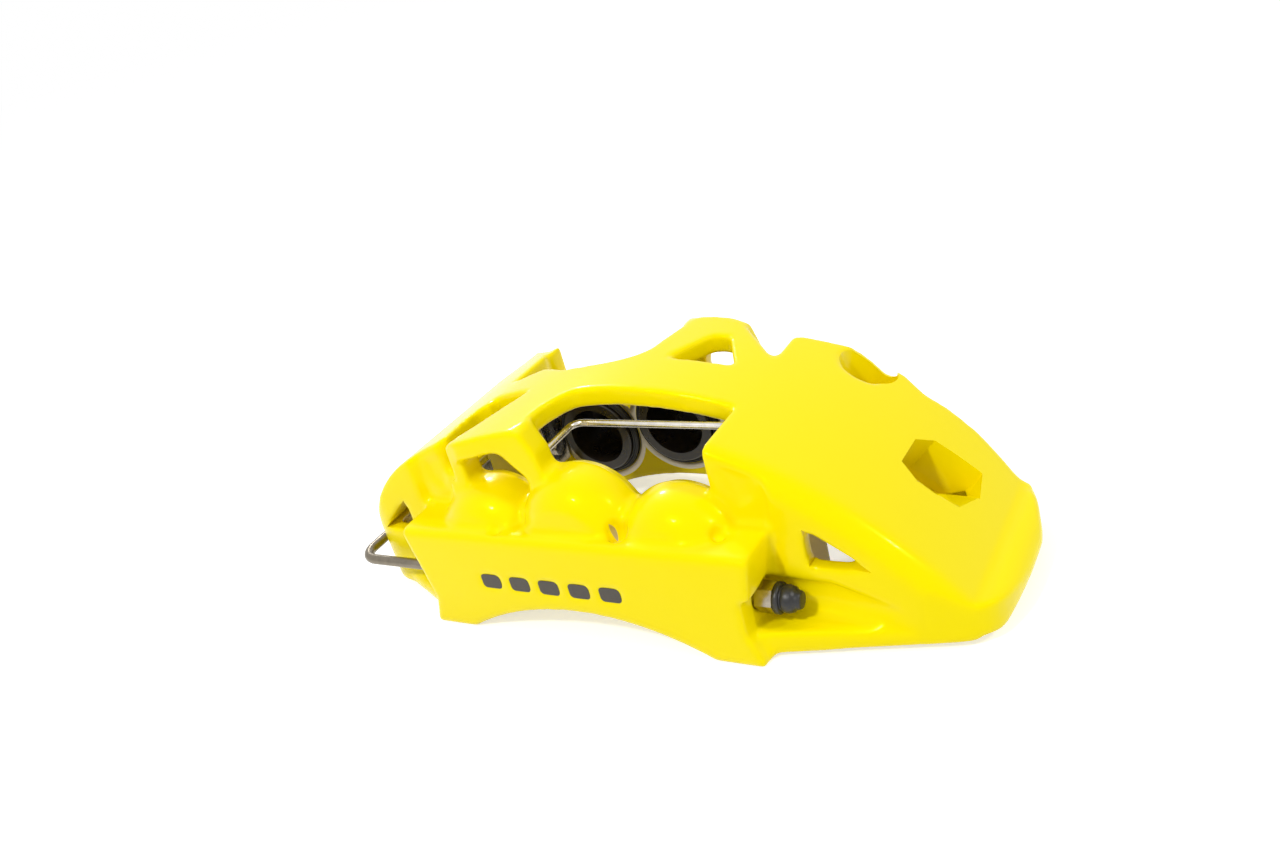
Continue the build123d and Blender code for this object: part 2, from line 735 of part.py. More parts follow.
for side_name, seat in pipe_seats.items():
    with BuildPart() as pipe_nut:
        with BuildSketch(seat):
            RegularPolygon(hex_across_flats / 2, 6, major_radius=False)
        extrude(amount=pipe_nut_length)
        with BuildSketch(seat.offset(0.5 - thread_length)):
            Circle(thread_radius)
        extrude(amount=thread_length)
        with BuildSketch(seat.offset(-thread_length)):
            Circle(pipe_diameter / 2 + pipe_play)
        extrude(amount=thread_length + pipe_nut_length, mode=Mode.SUBTRACT)
    pipe_nut.part.label = f"pipe_nut_{side_name}"
    export_step(pipe_nut.part, f"parts/{pipe_nut.part.label}.step")

# ---- stainless abutment plates with their screws, at the four corners of the pad pocket ----
for side, side_name in ((-1, "outboard"), (1, "inboard")):
    for end, end_name in ((-1, "short_end"), (1, "long_end")):
        with BuildPart() as plate:
            with BuildSketch(Plane.YZ.offset(end * pad_pocket_half_length)):
                with Locations((side * plate_middle, (plate_low + plate_high) / 2)):
                    Rectangle(plate_width, plate_high - plate_low)
            extrude(amount=-end * plate_thickness)
            with BuildSketch(Plane.YZ.offset(end * (pad_pocket_half_length + 1))):
                with Locations((side * plate_middle, screw_height)):
                    Circle(screw_hole_radius)
            extrude(amount=-end * (plate_thickness + 2), mode=Mode.SUBTRACT)
        plate.part.label = f"abutment_plate_{side_name}_{end_name}"
        export_step(plate.part, f"parts/{plate.part.label}.step")

        with BuildPart() as plate_screw:
            with BuildSketch(Plane.YZ.offset(end * (pad_pocket_half_length - plate_thickness))):
                with Locations((side * plate_middle, screw_height)):
                    Circle(screw_head_diameter / 2)
            extrude(amount=-end * screw_head_height)
            with BuildSketch(Plane.YZ.offset(end * (pad_pocket_half_length - plate_thickness))):
                with Locations((side * plate_middle, screw_height)):
                    Circle(screw_thread_diameter / 2)
            extrude(amount=end * (screw_length - 0.5))
        plate_screw.part.label = f"abutment_screw_{side_name}_{end_name}"
        export_step(plate_screw.part, f"parts/{plate_screw.part.label}.step")

# ---- pad wire: a bent stainless rod across the window ----
with BuildPart() as pad_wire:
    with BuildLine():
        FilletPolyline(
            (wire_corner, -wire_leg_end, wire_height),
            (wire_corner, wire_line, wire_height),
            (inner_edge + wire_seat, wire_line, wire_height),
            radius=wire_bend_radius,
        )
    with BuildSketch(Plane((wire_corner, -wire_leg_end, wire_height), z_dir=(0, 1, 0))):
        Circle(wire_radius)
    sweep()
pad_wire.part.label = "pad_wire"
export_step(pad_wire.part, "parts/pad_wire.step")

# ---- face inlay ----
with BuildPart() as face_inlay:
    with BuildSketch(Plane.XZ.offset(block_outer_face - inlay_recess)):
        with Locations(inlay_centre):
            with GridLocations(inlay_pitch, 1, inlay_count, 1):
                RectangleRounded(
                    inlay_block_length - 2 * inlay_play,
                    inlay_block_height - 2 * inlay_play,
                    inlay_corner - inlay_play,
                )
    extrude(amount=inlay_thickness)
face_inlay.part.label = "face_inlay"
export_step(face_inlay.part, "parts/face_inlay.step")
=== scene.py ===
import json
import math

import bmesh
import bpy
import numpy as np
from mathutils import Matrix, Vector

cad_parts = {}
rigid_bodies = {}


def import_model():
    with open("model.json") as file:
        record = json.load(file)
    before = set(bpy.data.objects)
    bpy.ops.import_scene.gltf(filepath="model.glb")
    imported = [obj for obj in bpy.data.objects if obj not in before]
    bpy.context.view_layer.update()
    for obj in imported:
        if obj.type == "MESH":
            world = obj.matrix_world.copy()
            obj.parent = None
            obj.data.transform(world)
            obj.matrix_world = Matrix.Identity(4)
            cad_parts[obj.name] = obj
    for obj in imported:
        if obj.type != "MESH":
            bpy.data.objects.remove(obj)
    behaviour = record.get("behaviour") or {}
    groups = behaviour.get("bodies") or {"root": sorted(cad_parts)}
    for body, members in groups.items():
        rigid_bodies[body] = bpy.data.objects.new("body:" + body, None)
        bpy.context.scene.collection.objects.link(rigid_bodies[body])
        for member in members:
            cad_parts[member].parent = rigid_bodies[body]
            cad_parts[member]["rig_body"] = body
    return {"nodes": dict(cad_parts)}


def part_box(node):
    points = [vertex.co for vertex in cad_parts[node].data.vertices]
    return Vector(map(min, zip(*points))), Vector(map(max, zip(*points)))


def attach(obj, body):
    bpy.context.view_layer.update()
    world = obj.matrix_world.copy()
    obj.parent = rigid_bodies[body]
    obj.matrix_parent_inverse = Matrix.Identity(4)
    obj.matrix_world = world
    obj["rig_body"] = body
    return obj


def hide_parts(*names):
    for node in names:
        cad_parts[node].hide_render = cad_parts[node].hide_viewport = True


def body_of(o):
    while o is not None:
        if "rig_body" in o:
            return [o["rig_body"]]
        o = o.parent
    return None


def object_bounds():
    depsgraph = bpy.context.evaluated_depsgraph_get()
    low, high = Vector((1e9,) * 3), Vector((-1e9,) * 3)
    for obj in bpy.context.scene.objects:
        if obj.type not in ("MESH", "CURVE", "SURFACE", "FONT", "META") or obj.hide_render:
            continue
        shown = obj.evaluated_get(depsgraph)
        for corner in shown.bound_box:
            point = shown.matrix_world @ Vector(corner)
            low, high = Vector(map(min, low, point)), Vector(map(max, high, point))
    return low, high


# Six-piston brake caliper: softened casting, rubber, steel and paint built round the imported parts.
# All lengths are metres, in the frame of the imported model.

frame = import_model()
cadLow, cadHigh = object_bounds()
cadNodes = frame["nodes"]
print("frame loaded:", len(cadNodes), "parts")

# ---- camera ----
cameraView = {
    "position": (0.25856, -0.35711, 0.27289),
    "azimuth": 35.37,
    "elevation": 25.54,
    "roll": -15.62,
    "lens": 31.335,
    "sensor": 36.0,
}


def makeCamera(v):
    a, e, r = (math.radians(v[k]) for k in ("azimuth", "elevation", "roll"))
    back = Vector((math.sin(a) * math.cos(e), -math.cos(a) * math.cos(e), math.sin(e)))
    right = Vector((math.cos(a), math.sin(a), 0))
    up = back.cross(right)
    turnedRight = right * math.cos(r) + up * math.sin(r)
    turnedUp = up * math.cos(r) - right * math.sin(r)
    cam = bpy.data.cameras.new("viewCamera")
    cam.lens, cam.sensor_width = v["lens"], v["sensor"]
    cam.clip_start, cam.clip_end = 0.01, 50
    obj = bpy.data.objects.new("viewCamera", cam)
    axes = Matrix((turnedRight, turnedUp, back)).transposed().to_4x4()
    obj.matrix_world = Matrix.Translation(v["position"]) @ axes
    bpy.context.scene.collection.objects.link(obj)
    bpy.context.scene.camera = obj


makeCamera(cameraView)


# ---- node helpers ----
def newMaterial(name):
    mat = bpy.data.materials.new(name)
    mat.use_nodes = True
    tree = mat.node_tree
    tree.nodes.clear()
    shader = tree.nodes.new("ShaderNodeBsdfPrincipled")
    out = tree.nodes.new("ShaderNodeOutputMaterial")
    tree.links.new(shader.outputs["BSDF"], out.inputs["Surface"])
    return mat, tree, shader


def addMath(tree, op, a, b=None, c=None, clamp=False):
    node = tree.nodes.new("ShaderNodeMath")
    node.operation, node.use_clamp = op, clamp
    for i, v in enumerate((a, b, c)):
        if isinstance(v, (int, float)):
            node.inputs[i].default_value = v
        elif v is not None:
            tree.links.new(v, node.inputs[i])
    return node.outputs[0]


def addMix(tree, factor, a, b):
    node = tree.nodes.new("ShaderNodeMix")
    node.data_type = "RGBA"
    for socket, v in ((node.inputs[0], factor), (node.inputs[6], a), (node.inputs[7], b)):
        if isinstance(v, bpy.types.NodeSocket):
            tree.links.new(v, socket)
        elif isinstance(v, tuple):
            socket.default_value = (*v, 1)
        else:
            socket.default_value = v
    return node.outputs[2]


def addRange(tree, value, low, high):
    node = tree.nodes.new("ShaderNodeMapRange")
    tree.links.new(value, node.inputs["Value"])
    node.inputs["To Min"].default_value, node.inputs["To Max"].default_value = low, high
    return node.outputs["Result"]


# ---- shared effects, as node groups ----
def newGroup(name, inputs, outputs):
    group = bpy.data.node_groups.new(name, "ShaderNodeTree")
    for label, kind, value in inputs:
        socket = group.interface.new_socket(label, in_out="INPUT", socket_type=kind)
        socket.default_value = value
    for label, kind in outputs:
        group.interface.new_socket(label, in_out="OUTPUT", socket_type=kind)
    return group, group.nodes.new("NodeGroupInput"), group.nodes.new("NodeGroupOutput")


def makeMottleGroup():
    group, given, made = newGroup(
        "surfaceMottle",
        [("Scale", "NodeSocketFloat", 300.0), ("Fine Scale", "NodeSocketFloat", 2500.0)],
        [("Mottle", "NodeSocketFloat"), ("Height", "NodeSocketFloat")],
    )
    place = group.nodes.new("ShaderNodeTexCoord")
    for socket, label, detail in (("Scale", "Mottle", 3), ("Fine Scale", "Height", 2)):
        noise = group.nodes.new("ShaderNodeTexNoise")
        noise.inputs["Detail"].default_value = detail
        group.links.new(place.outputs["Object"], noise.inputs["Vector"])
        group.links.new(given.outputs[socket], noise.inputs["Scale"])
        group.links.new(noise.outputs["Fac"], made.inputs[label])
    return group


mottleGroup = makeMottleGroup()


def useMottle(tree, scale, fineScale):
    node = tree.nodes.new("ShaderNodeGroup")
    node.node_tree = mottleGroup
    node.inputs["Scale"].default_value, node.inputs["Fine Scale"].default_value = scale, fineScale
    return node.outputs["Mottle"], node.outputs["Height"]


def finishMaterial(name, look):
    mat, tree, shader = newMaterial(name)
    mottle, height = useMottle(tree, look["scale"], look["fineScale"])
    spread = addRange(tree, mottle, 0.0, 1.0)
    tree.links.new(addMix(tree, spread, look["dark"], look["pale"]), shader.inputs["Base Color"])
    tree.links.new(addRange(tree, mottle, *look["roughness"]), shader.inputs["Roughness"])
    shader.inputs["Metallic"].default_value = look.get("metallic", 0.0)
    shader.inputs["Coat Weight"].default_value = look.get("coat", 0.0)
    shader.inputs["Coat Roughness"].default_value = look.get("coatRoughness", 0.05)
    bump = tree.nodes.new("ShaderNodeBump")
    bump.inputs["Strength"].default_value = look["bump"]
    bump.inputs["Distance"].default_value = look["bumpDepth"]
    tree.links.new(height, bump.inputs["Height"])
    tree.links.new(bump.outputs["Normal"], shader.inputs["Normal"])
    return mat


finishes = {
    "pistonCup": {"dark": (0.012, 0.010, 0.008), "pale": (0.030, 0.022, 0.017), "roughness": (0.22, 0.36),
                  "scale": 160, "fineScale": 1500, "bump": 0.15, "bumpDepth": 0.0002, "coat": 0.3},
    "blackRubber": {"dark": (0.008, 0.008, 0.009), "pale": (0.022, 0.021, 0.021), "roughness": (0.30, 0.48),
                    "scale": 220, "fineScale": 2600, "bump": 0.2, "bumpDepth": 0.0002},
    "zincSteel": {"dark": (0.24, 0.20, 0.14), "pale": (0.60, 0.54, 0.43), "roughness": (0.16, 0.30),
                  "scale": 260, "fineScale": 1800, "bump": 0.12, "bumpDepth": 0.0001, "metallic": 1.0},
    "darkSteel": {"dark": (0.15, 0.13, 0.10), "pale": (0.30, 0.26, 0.20), "roughness": (0.26, 0.42),
                  "scale": 240, "fineScale": 1800, "bump": 0.15, "bumpDepth": 0.0001, "metallic": 1.0},
    "stainlessWire": {"dark": (0.52, 0.49, 0.44), "pale": (0.78, 0.75, 0.70), "roughness": (0.20, 0.34),
                      "scale": 200, "fineScale": 2200, "bump": 0.12, "bumpDepth": 0.0001, "metallic": 1.0},
    "inlayFill": {"dark": (0.030, 0.025, 0.021), "pale": (0.062, 0.050, 0.040), "roughness": (0.32, 0.45),
                  "scale": 300, "fineScale": 2400, "bump": 0.15, "bumpDepth": 0.0001},
}
finishMats = {name: finishMaterial(name, look) for name, look in finishes.items()}

# ---- yellow paint over the casting, with bare metal where tools have cut it ----
paintLook = {
    "colour": (1.0, 0.825, 0.0),
    "deepColour": (0.99, 0.815, 0.0),
    "roughness": (0.20, 0.27),
    "specular": 0.35,
    "tint": (1.0, 0.84, 0.0),
    "coat": 0.07,
    "coatRoughness": 0.05,
    "peelScale": 420,
    "metalDark": (0.42, 0.38, 0.32),
    "metalPale": (0.60, 0.56, 0.49),
    "metalRoughness": 0.14,
    "boreWall": 0.0222,
    "boreDepth": 0.0597,
    "spotRadius": 0.0254,
    "padFace": 0.037,
    "faceSpare": 0.0006,
    "mottleScale": 60,
    "bump": 0.05,
    "bumpDepth": 0.0004,
    "boreX": (-0.0455, 0.0, 0.0455),
    "boreZ": (0.03755, 0.0445, 0.03755),
    "edge": 0.0002,
}


def makePaint(look):
    mat, tree, shader = newMaterial("glossYellowPaint")
    place = tree.nodes.new("ShaderNodeTexCoord")
    split = tree.nodes.new("ShaderNodeSeparateXYZ")
    tree.links.new(place.outputs["Object"], split.inputs[0])
    x, y, z = split.outputs
    depth = addMath(tree, "ABSOLUTE", y)

    def under(value, limit):  # 1 below the limit and 0 above it, with a soft step
        room = addMath(tree, "SUBTRACT", limit, value)
        return addMath(tree, "MULTIPLY", room, 1 / look["edge"], clamp=True)

    def over(value, limit):
        room = addMath(tree, "SUBTRACT", value, limit)
        return addMath(tree, "MULTIPLY", room, 1 / look["edge"], clamp=True)

    def both(a, b):
        return addMath(tree, "MULTIPLY", a, b)

    nearest = None  # distance from the nearest bore's axis
    for boreX, boreZ in zip(look["boreX"], look["boreZ"]):
        dx = addMath(tree, "SUBTRACT", x, boreX)
        dz = addMath(tree, "SUBTRACT", z, boreZ)
        reach = addMath(tree, "SQRT", addMath(tree, "MULTIPLY_ADD", dx, dx, both(dz, dz)))
        nearest = reach if nearest is None else addMath(tree, "MINIMUM", nearest, reach)
    nearFace, farFace = look["padFace"] - look["faceSpare"], look["padFace"] + look["faceSpare"]
    spotFace = both(under(nearest, look["spotRadius"]), under(depth, farFace))
    boreWall = both(under(nearest, look["boreWall"]), under(depth, look["boreDepth"]))
    bare = both(addMath(tree, "MAXIMUM", spotFace, boreWall), over(depth, nearFace))
    mottle, peel = useMottle(tree, look["mottleScale"], look["peelScale"])
    paint = addMix(tree, mottle, look["deepColour"], look["colour"])
    metal = addMix(tree, mottle, look["metalDark"], look["metalPale"])
    tree.links.new(addMix(tree, bare, paint, metal), shader.inputs["Base Color"])
    tree.links.new(bare, shader.inputs["Metallic"])
    paintRough = addRange(tree, mottle, *look["roughness"])
    rough = addMath(tree, "MULTIPLY_ADD", bare, look["metalRoughness"], paintRough)
    tree.links.new(rough, shader.inputs["Roughness"])
    coat = addMath(tree, "MULTIPLY_ADD", bare, -look["coat"], look["coat"])
    tree.links.new(coat, shader.inputs["Coat Weight"])
    shader.inputs["Coat Roughness"].default_value = look["coatRoughness"]
    shader.inputs["Specular IOR Level"].default_value = look["specular"]
    shader.inputs["Specular Tint"].default_value = (*look["tint"], 1)
    bump = tree.nodes.new("ShaderNodeBump")
    bump.inputs["Strength"].default_value = look["bump"]
    bump.inputs["Distance"].default_value = look["bumpDepth"]
    tree.links.new(peel, bump.inputs["Height"])
    tree.links.new(bump.outputs["Normal"], shader.inputs["Normal"])
    return mat


paintMat = makePaint(paintLook)
print("materials made")


# ---- mesh helpers ----
def newPiece(name, mesh, mat, body, slot):
    mesh.name = name
    obj = bpy.data.objects.new(name, mesh)
    bpy.context.scene.collection.objects.link(obj)
    mesh.materials.clear()
    mesh.materials.append(mat)
    for poly in mesh.polygons:
        poly.use_smooth = True
    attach(obj, body)
    return obj


def modified(mesh, addModifiers):
    helper = bpy.data.objects.new("helper", mesh)
    bpy.context.scene.collection.objects.link(helper)
    addModifiers(helper)
    graph = bpy.context.evaluated_depsgraph_get()
    result = bpy.data.meshes.new_from_object(helper.evaluated_get(graph))
    bpy.data.objects.remove(helper)
    return result


def smoothed(mesh, rounds, weights=None, strength=0.5):
    count = len(mesh.vertices)
    points = np.empty(count * 3)
    mesh.vertices.foreach_get("co", points)
    points = points.reshape(-1, 3)
    edges = np.empty(len(mesh.edges) * 2, dtype=np.int64)
    mesh.edges.foreach_get("vertices", edges)
    a, b = edges.reshape(-1, 2).T
    degree = np.maximum(np.bincount(np.concatenate((a, b)), minlength=count), 1)
    share = np.full(count, strength) if weights is None else strength * weights(points)
    for _ in range(rounds):
        for k in range(3):
            column = points[:, k]
            total = np.bincount(a, column[b], count) + np.bincount(b, column[a], count)
            points[:, k] = column + share * (total / degree - column)
    mesh.vertices.foreach_set("co", points.ravel())
    mesh.update()
    return mesh


# ---- cutting tools: closed shapes pushed or turned along an axis ----
def alongX(a, b, depth):
    return depth, a, b


def alongY(a, b, depth):
    return a, depth, b


def alongZ(a, b, depth):
    return a, b, depth


def circle(radius, middle=(0.0, 0.0), steps=96):
    turns = [2 * math.pi * i / steps for i in range(steps)]
    return [(middle[0] + radius * math.cos(t), middle[1] + radius * math.sin(t)) for t in turns]


def lofted(rings, closed=False):  # one shape through rings that have as many points each
    count, last = len(rings[0]), len(rings)
    points = [point for ring in rings for point in ring]
    faces = []
    for k in range(last if closed else last - 1):
        near, far = k * count, (k + 1) % last * count
        for i in range(count):
            j = (i + 1) % count
            faces.append((near + i, near + j, far + j, far + i))
    if not closed:
        faces += [tuple(reversed(range(count))), tuple(range((last - 1) * count, last * count))]
    mesh = bpy.data.meshes.new("tool")
    mesh.from_pydata(points, [], faces)
    return facedOut(mesh)


def prism(outline, low, high, put):
    return lofted([[put(a, b, depth) for a, b in outline] for depth in (low, high)])


def lathe(profile, middle, put, steps=96):  # profile gives radius and depth, from one end to the other
    return lofted([[put(a, b, depth) for a, b in circle(radius, middle, steps)] for radius, depth in profile])


def swept(section, low, high, steps=32):  # section gives radius and y, turned about the disc's axis
    rings = []
    for i in range(steps + 1):
        turn = math.radians(low + (high - low) * i / steps)
        rings.append([(r * math.sin(turn), y, forms["discAxis"] + r * math.cos(turn)) for r, y in section])
    return lofted(rings)


def curved(points, steps=8):  # a smooth line through the points
    padded = [np.array(p, dtype=float) for p in (points[0], *points, points[-1])]
    made = []
    for a, b, c, d in zip(padded, padded[1:], padded[2:], padded[3:]):
        for t in np.arange(steps) / steps:
            bend = (2 * a - 5 * b + 4 * c - d) * t**2 + (3 * b - a - 3 * c + d) * t**3
            made.append(tuple(float(v) for v in 0.5 * (2 * b + (c - a) * t + bend)))
    return made + [tuple(points[-1])]


def millimetres(points):
    return [tuple(value / 1000 for value in point) for point in points]


def facedOut(mesh):
    made = bmesh.new()
    made.from_mesh(mesh)
    bmesh.ops.recalc_face_normals(made, faces=made.faces)
    made.to_mesh(mesh)
    made.free()
    return mesh


def combined(mesh, tools, operation="DIFFERENCE"):
    helpers = []

    def add(helper):
        for number, tool in enumerate(tools):
            other = bpy.data.objects.new("toolObject", tool)
            bpy.context.scene.collection.objects.link(other)
            helpers.append(other)
            mod = helper.modifiers.new("cut" + str(number), "BOOLEAN")
            mod.operation, mod.solver, mod.object = operation, "MANIFOLD", other

    result = modified(mesh, add)
    for other in helpers:
        bpy.data.objects.remove(other)
    return result


# ---- the casting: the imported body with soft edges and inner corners, then machined again ----
castSkin = {"voxel": 0.0008, "fillet": 0.0018, "rounds": 9, "sharpFrom": 38}
machining = {
    "padFace": 0.037,
    "toolStart": 0.9,
    "pocketHalfLength": 0.068,
    "pocketTop": 0.0597,
    "boreRadius": 0.01905,
    "boreSpare": 0.0004,
    "bootSeatRadius": 0.02155,
    "bootSeatDepth": 0.003,
    "lugs": ((0.094, 0.048), (-0.094, 0.048)),
    "socketRadius": 0.0116,
    "lugHoleRadius": 0.00625,
    "lugSeat": 0.036,
    "portSeat": 0.077,
    "portSpotRadius": 0.008,
    "portSpotDepth": 0.008,
    "inlayReach": 0.002,
    "windowDepths": (-0.056, -0.03),
    "longWindow": ((0.0972, 0.0508), (0.1215, 0.0342), (0.0972, 0.0342)),
    "shortWindow": ((-0.0982, 0.0508), (-0.0982, 0.0342), (-0.1165, 0.0342)),
}


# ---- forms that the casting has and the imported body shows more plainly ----
forms = {
    "discAxis": -0.108,
    "shellOuter": 0.200,
    "shellInner": 0.181,
    "ledge": 0.050,
    "blockFace": 0.071,
    "domeRadius": 0.02705,
    "crownStart": 0.0495,
    "crown": millimetres([(27.05, 49.5), (25.54, 55.8), (21.82, 61.05), (17, 64.5)]),
    "plugRadius": 0.0196,
    "plugDepths": (0.0609, 0.0655),
    "ledgeHalfLength": 0.0832,
    "ledgeCorner": millimetres([(71, 46), (71, 47.2), (70.1, 49.1), (68.2, 50), (65, 50), (65, 46)]),
    "oldHoles": millimetres([(23, -56, 4.7, 37, 53.5), (68, -58, 3.7, 41, 50), (-23, -60, 3.2, 43, 50)]),
    "ledgeHoles": millimetres([
        (24, -61, 4.6, 6), (14, -64.5, 2.8, 2), (-33.5, -65.5, 3, 2), (66.5, -57, 3.2, 4),
    ]),
    "holeDraft": 0.325,
    "edgeRound": 0.009,
    "webFace": 0.050,
    "edgeTurns": (18.0, 50.3),
    "ringRadius": 0.0145,
    "ringHeights": (0.0275, 0.057, 0.077),
    "ringTrim": millimetres([(110, 57), (96, 57), (84.5, 72), (78, 75), (78, 90), (110, 90)]),
    "noseStart": 0.1375,
    "noseUnder": ((0.162, 0.004), (0.147, 0.005), (0.1375, 0.004)),
    "noseInboard": ((0.152, 0.0408), (0.1375, 0.0468), (0.1375, -0.05)),
    "noseBeyond": ((0.157, 0.07), (0.19, 0.07), (0.19, -0.07), (0.138, -0.07)),
    "noseTop": millimetres([(155, 18.4), (164, 16.5), (168, 11)]),
    "nosePlan": millimetres([(138, -50), (161.5, -38), (168, 0), (163.5, 25.5), (157, 41.5)]),
    "shellStrip": millimetres([
        (100, 35), (100, 57), (112, 48.7), (126, 49), (136, 47.3), (152, 40.8), (155, 41), (155, 35),
    ]),
    "slit": millimetres([
        (-58, -14), (-63, -15), (-66.5, -19), (-67.5, -29), (-66, -42), (-71, -48), (-71, -56), (-58, -56),
    ]),
    "trough": ((76.5, -63.5, 11.5, -46.5, 30), (106, -58, 10.8, -46.5, 28.3), (136, -58, 9.5, -50.5, 18)),
    "oldPocket": millimetres([
        (117, 7), (123.5, 21), (133, 26), (148, 23), (151, 8), (137.5, -6), (123.5, -6),
    ]),
    "pocketPlace": 0.134,
    "pocketWalls": millimetres([(-17.5, -1), (-17, 16.4), (-10, 23), (12.7, 24.1)]),
    "pocketMouth": millimetres([(16.3, 7.6), (10.5, -5.4), (1, -6.9), (-7.5, -6.8)]),
    "pocketRidge": millimetres([(14.3, 21.7), (6, 14), (-1.3, 7.5), (-7, 2.6)]),
    "pocketDepths": (0.001, -0.012, -0.021),
}
boreAxes = list(zip(paintLook["boreX"], paintLook["boreZ"]))


def shellRing(f, low, high, yLow, yHigh):
    inner, outer = f["shellInner"] + 0.0002, f["shellOuter"] - 0.00005
    return swept([(inner, yLow), (outer, yLow), (outer, yHigh), (inner, yHigh)], low, high)


def addedForms(f):
    for side in (-1, 1):
        for place in boreAxes:  # the bore ends just behind its piston
            ends = sorted(side * depth for depth in f["plugDepths"])
            yield prism(circle(f["plugRadius"], place), *ends, alongY)
        corner = [(side * y, z) for y, z in f["ledgeCorner"]]
        yield prism(corner, -f["ledgeHalfLength"], f["ledgeHalfLength"], alongX)
    for x, y, radius, low, high in f["oldHoles"]:
        yield prism(circle(radius, (x, y), 32), low, high, alongZ)
    low, mid, high = f["ringHeights"]
    for lug in machining["lugs"]:
        yield prism(circle(f["ringRadius"], lug), low, mid, alongZ)
    climbing = prism(circle(f["ringRadius"], machining["lugs"][0]), low, high, alongZ)
    yield combined(climbing, [prism(f["ringTrim"], -0.1, 0.1, alongY)])
    stops = np.linspace(f["noseStart"], 0.1545, 8)
    arc = [(x, f["discAxis"] + math.sqrt(f["shellOuter"] ** 2 - x**2)) for x in stops]
    side = [*arc, *curved(f["noseTop"]), *f["noseUnder"]]
    plan = [*curved(f["nosePlan"]), *f["noseInboard"]]
    yield combined(prism(side, -0.06, 0.06, alongY), [prism(plan, -0.01, 0.09, alongZ)], "INTERSECT")
    strip = prism(f["shellStrip"], 0.0, 0.12, alongZ)
    yield combined(strip, [shellRing(f, 26, 52, 0.03, 0.06)], "INTERSECT")
    filled = prism(f["oldPocket"], 0.009, 0.07, alongZ)
    yield combined(filled, [shellRing(f, 33, 58, -0.01, 0.03)], "INTERSECT")


def domeExcess(f, side):  # what a plain cylinder has beyond the dome, above the ledge
    far = f["blockFace"] - 0.0005
    ends = sorted((side * f["crownStart"], side * far))
    plain = [prism(circle(f["domeRadius"] + 0.0002, place), *ends, alongY) for place in boreAxes]
    ledge, half = f["ledge"] + 0.0001, 0.08
    above = [(-half, ledge), (half, ledge), (half, 0.08), (-half, 0.08)]
    excess = combined(plain[0], plain[1:], "UNION")
    excess = combined(excess, [prism(above, -0.08, 0.08, alongY)], "INTERSECT")
    profile = [(f["domeRadius"], 0.045), *curved(f["crown"])]
    domes = [lathe([(r, side * depth) for r, depth in profile], place, alongY) for place in boreAxes]
    return combined(excess, domes)


def cutForms(f):
    yield from (domeExcess(f, side) for side in (-1, 1))
    inner = f["shellOuter"] - f["edgeRound"]
    start = f["webFace"] - f["edgeRound"]
    turns = [math.radians(90 * i / 10) for i in range(11)]
    section = [(inner + f["edgeRound"] * math.cos(a), -start - f["edgeRound"] * math.sin(a)) for a in turns]
    section += [(inner, -f["webFace"] - 0.003), (f["shellOuter"] + 0.003, -f["webFace"] - 0.003)]
    yield swept([*section, (f["shellOuter"] + 0.003, -start)], *f["edgeTurns"])
    yield prism([*curved(f["nosePlan"]), *f["noseBeyond"]], -0.01, 0.06, alongZ)
    yield prism(f["slit"], 0.065, 0.13, alongZ)
    rings = []
    for x, lip, floor, back, top in f["trough"]:
        outline = [(-80, floor + 1.5), (lip, floor + 1), ((lip + back) / 2 - 1, floor)]
        outline += [(back - 2.5, floor + 2), (back, floor + 6), (back, (floor + 6 + 2 * top) / 3)]
        outline += [(min(back, -50) - 0.5, top), (-80, top + 1)]
        rings.append(millimetres([(x, y, z) for y, z in outline]))
    yield lofted(rings)
    for x, y, radius, depth in f["ledgeHoles"]:
        foot = radius - f["holeDraft"] * depth
        profile = [(foot, f["ledge"] - depth), (radius, f["ledge"]), (radius, f["ledge"] + radius)]
        yield lathe(profile, (x, y), alongZ, 48)


def pocketCuts(f):  # three steep walls and one facet that slopes in to a ridge
    slope = math.asin(f["pocketPlace"] / f["shellOuter"])
    across = Vector((math.cos(slope), 0, -math.sin(slope)))
    out = Vector((math.sin(slope), 0, math.cos(slope)))
    middle = Vector((0, 0, f["discAxis"])) + f["shellOuter"] * out

    def put(a, b, depth):
        return middle + a * across + Vector((0, b, 0)) + depth * out

    high, low, through = f["pocketDepths"]
    mouth = [put(a, b, high) for a, b in f["pocketWalls"] + f["pocketMouth"]]
    foot = f["pocketWalls"] + f["pocketRidge"]
    yield lofted([mouth, [put(a, b, low) for a, b in foot]])
    yield prism(foot, through, low + 0.0005, put)


def remeshed(mesh, voxel):
    def add(helper):
        mod = helper.modifiers.new("skin", "REMESH")
        mod.mode, mod.voxel_size, mod.adaptivity = "VOXEL", voxel, 0.0

    return modified(mesh, add)


def swollen(mesh, amount):
    count = len(mesh.vertices)
    points, normals = np.empty(count * 3), np.empty(count * 3)
    mesh.vertices.foreach_get("co", points)
    mesh.vertex_normals.foreach_get("vector", normals)
    mesh.vertices.foreach_set("co", points + amount * normals)
    mesh.update()
    return mesh


def boreTools(m):
    for node in cadNodes:
        if not node.startswith(("piston_outboard", "piston_inboard")):
            continue
        low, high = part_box(node)
        x, z = (low.x + high.x) / 2, (low.z + high.z) / 2
        side = 1 if low.y > 0 else -1
        boreEnd = max(abs(low.y), abs(high.y)) + m["boreSpare"]
        seatEnd = m["padFace"] + m["bootSeatDepth"]
        start = side * m["toolStart"] * m["padFace"]
        for radius, end in ((m["boreRadius"], boreEnd), (m["bootSeatRadius"], seatEnd)):
            yield prism(circle(radius, (x, z)), *sorted((start, side * end)), alongY)


def lugTools(m):
    for lug in m["lugs"]:
        yield prism(circle(m["socketRadius"], lug), m["lugSeat"], cadHigh.z + 0.01, alongZ)
        yield prism(circle(m["lugHoleRadius"], lug, 64), cadLow.z - 0.01, m["lugSeat"] + 0.001, alongZ)


